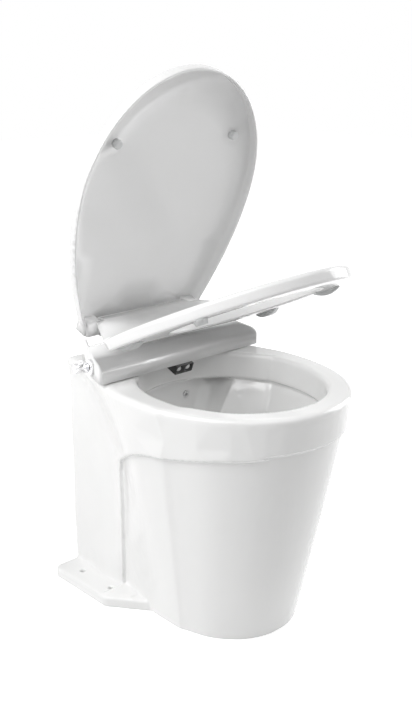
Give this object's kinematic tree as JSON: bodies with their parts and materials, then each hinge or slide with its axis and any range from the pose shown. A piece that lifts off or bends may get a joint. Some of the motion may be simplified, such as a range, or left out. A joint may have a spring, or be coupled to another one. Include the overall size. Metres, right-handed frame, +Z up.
{
  "type": "macerating toilet",
  "caption": "Low white floor toilet with a wash base, hinged seat and lid, a wash valve on its side, twin nozzles and a macerator pump in the open back.",
  "frame": {"origin": "centre of the four floor bolts, on the floor", "axes": "+Z up, the front of the bowl faces -Y, +X is the left of a person who sits on it"},
  "size_m": [0.3696, 0.4952, 0.8742],
  "materials": {
    "china": "glossy white glaze",
    "seat_plastic": "glossy white",
    "lid_plastic": "glossy white",
    "base_plastic": "glossy white",
    "inner_plastic": "satin white",
    "nozzle_plastic": "glossy pale grey",
    "clear_rubber": "translucent grey, satin",
    "dark_rubber": "matte black",
    "hose_rubber": "satin grey",
    "steel": "brushed",
    "chrome": "polished",
    "brass": "satin",
    "dark_plastic": "matte black",
    "impeller_plastic": "satin dark grey",
    "motor_paint": "satin black",
    "magnet": "dark sintered",
    "iron": "oiled laminations",
    "coil_plastic": "satin blue",
    "lead_sheath": "matte black"
  },
  "bodies": {
    "root": {"china_body": "china", "seat_base": "base_plastic", "base_tray": "inner_plastic", "base_pads": "clear_rubber", "mounting_plate": "steel", "seat_bolts": "steel", "seat_bolt_washers": "dark_rubber", "seat_wing_nuts": "inner_plastic", "seat_damper_body": "dark_plastic", "lid_damper_body": "dark_plastic", "nozzle_guide": "inner_plastic", "rear_nozzle_spring": "steel", "front_nozzle_spring": "steel", "valve_body": "brass", "valve_escutcheon": "chrome", "nozzle_hoses": "hose_rubber", "supply_hose": "hose_rubber", "bowl_outlet_gasket": "dark_rubber", "chopper_housing": "dark_plastic", "pump_bolts": "steel", "pump_nuts": "steel", "wear_plate": "steel", "pump_back_plate": "dark_plastic", "shaft_seal": "dark_rubber", "motor_can": "motor_paint", "motor_end_cap": "motor_paint", "motor_bearings": "steel", "motor_magnets": "magnet", "motor_cradle": "dark_plastic", "cradle_foot": "dark_rubber", "motor_strap": "steel", "discharge_elbow": "dark_plastic", "joker_valve": "dark_rubber", "valve_bracket": "steel", "solenoid_body": "inner_plastic", "solenoid_coil": "coil_plastic", "plunger_spring": "steel", "supply_tee": "brass", "rinse_jet": "inner_plastic", "rinse_hose": "hose_rubber", "terminal_box": "dark_plastic", "motor_leads": "lead_sheath"},
    "seat": {"seat_ring": "seat_plastic", "seat_bumpers": "clear_rubber", "seat_damper_shaft": "steel"},
    "lid": {"lid": "lid_plastic", "lid_bumpers": "clear_rubber", "lid_damper_shaft": "steel"},
    "lever": {"valve_lever": "chrome", "valve_cartridge": "brass"},
    "front_nozzle": {"front_nozzle": "nozzle_plastic"},
    "rear_nozzle": {"rear_nozzle": "nozzle_plastic"},
    "rotor": {"motor_shaft": "steel", "motor_armature": "iron", "impeller": "impeller_plastic", "chopper_blade": "steel"},
    "plunger": {"solenoid_plunger": "iron"}
  },
  "joints": [
    {"name": "seat_hinge", "type": "hinge", "parent": "root", "child": "seat", "pos_m": [0, 0.0247, 0.4575], "axis": [-1, 0, 0], "range_deg": [-24.4, 68.6]},
    {"name": "lid_hinge", "type": "hinge", "parent": "seat", "child": "lid", "pos_m": [0, 0.0247, 0.4575], "axis": [-1, 0, 0], "range_deg": [-51.95, 52.5]},
    {"name": "wash_lever_turn", "type": "hinge", "parent": "root", "child": "lever", "pos_m": [-0.16026, -0.043, 0.418], "axis": [-0.9303, 0.3668, 0], "range_deg": [0, 90]},
    {"name": "front_nozzle_slide", "type": "slide", "parent": "root", "child": "front_nozzle", "axis": [0, -0.9272, -0.3746], "range_m": [0, 0.04], "stiffness_N_per_m": 60, "springref_m": -0.015, "deforming": ["front_nozzle_spring"]},
    {"name": "rear_nozzle_slide", "type": "slide", "parent": "root", "child": "rear_nozzle", "axis": [0, -0.9272, -0.3746], "range_m": [0, 0.04], "stiffness_N_per_m": 60, "springref_m": -0.015, "deforming": ["rear_nozzle_spring"]},
    {"name": "pump_rotor_spin", "type": "hinge", "parent": "root", "child": "rotor", "pos_m": [0, 0, 0.105], "axis": [0, 1, 0], "continuous": true},
    {"name": "rinse_plunger_lift", "type": "slide", "parent": "root", "child": "plunger", "axis": [0, 0, 1], "range_m": [0, 0.005], "stiffness_N_per_m": 300, "springref_m": -0.004, "deforming": ["plunger_spring"]}
  ]
}
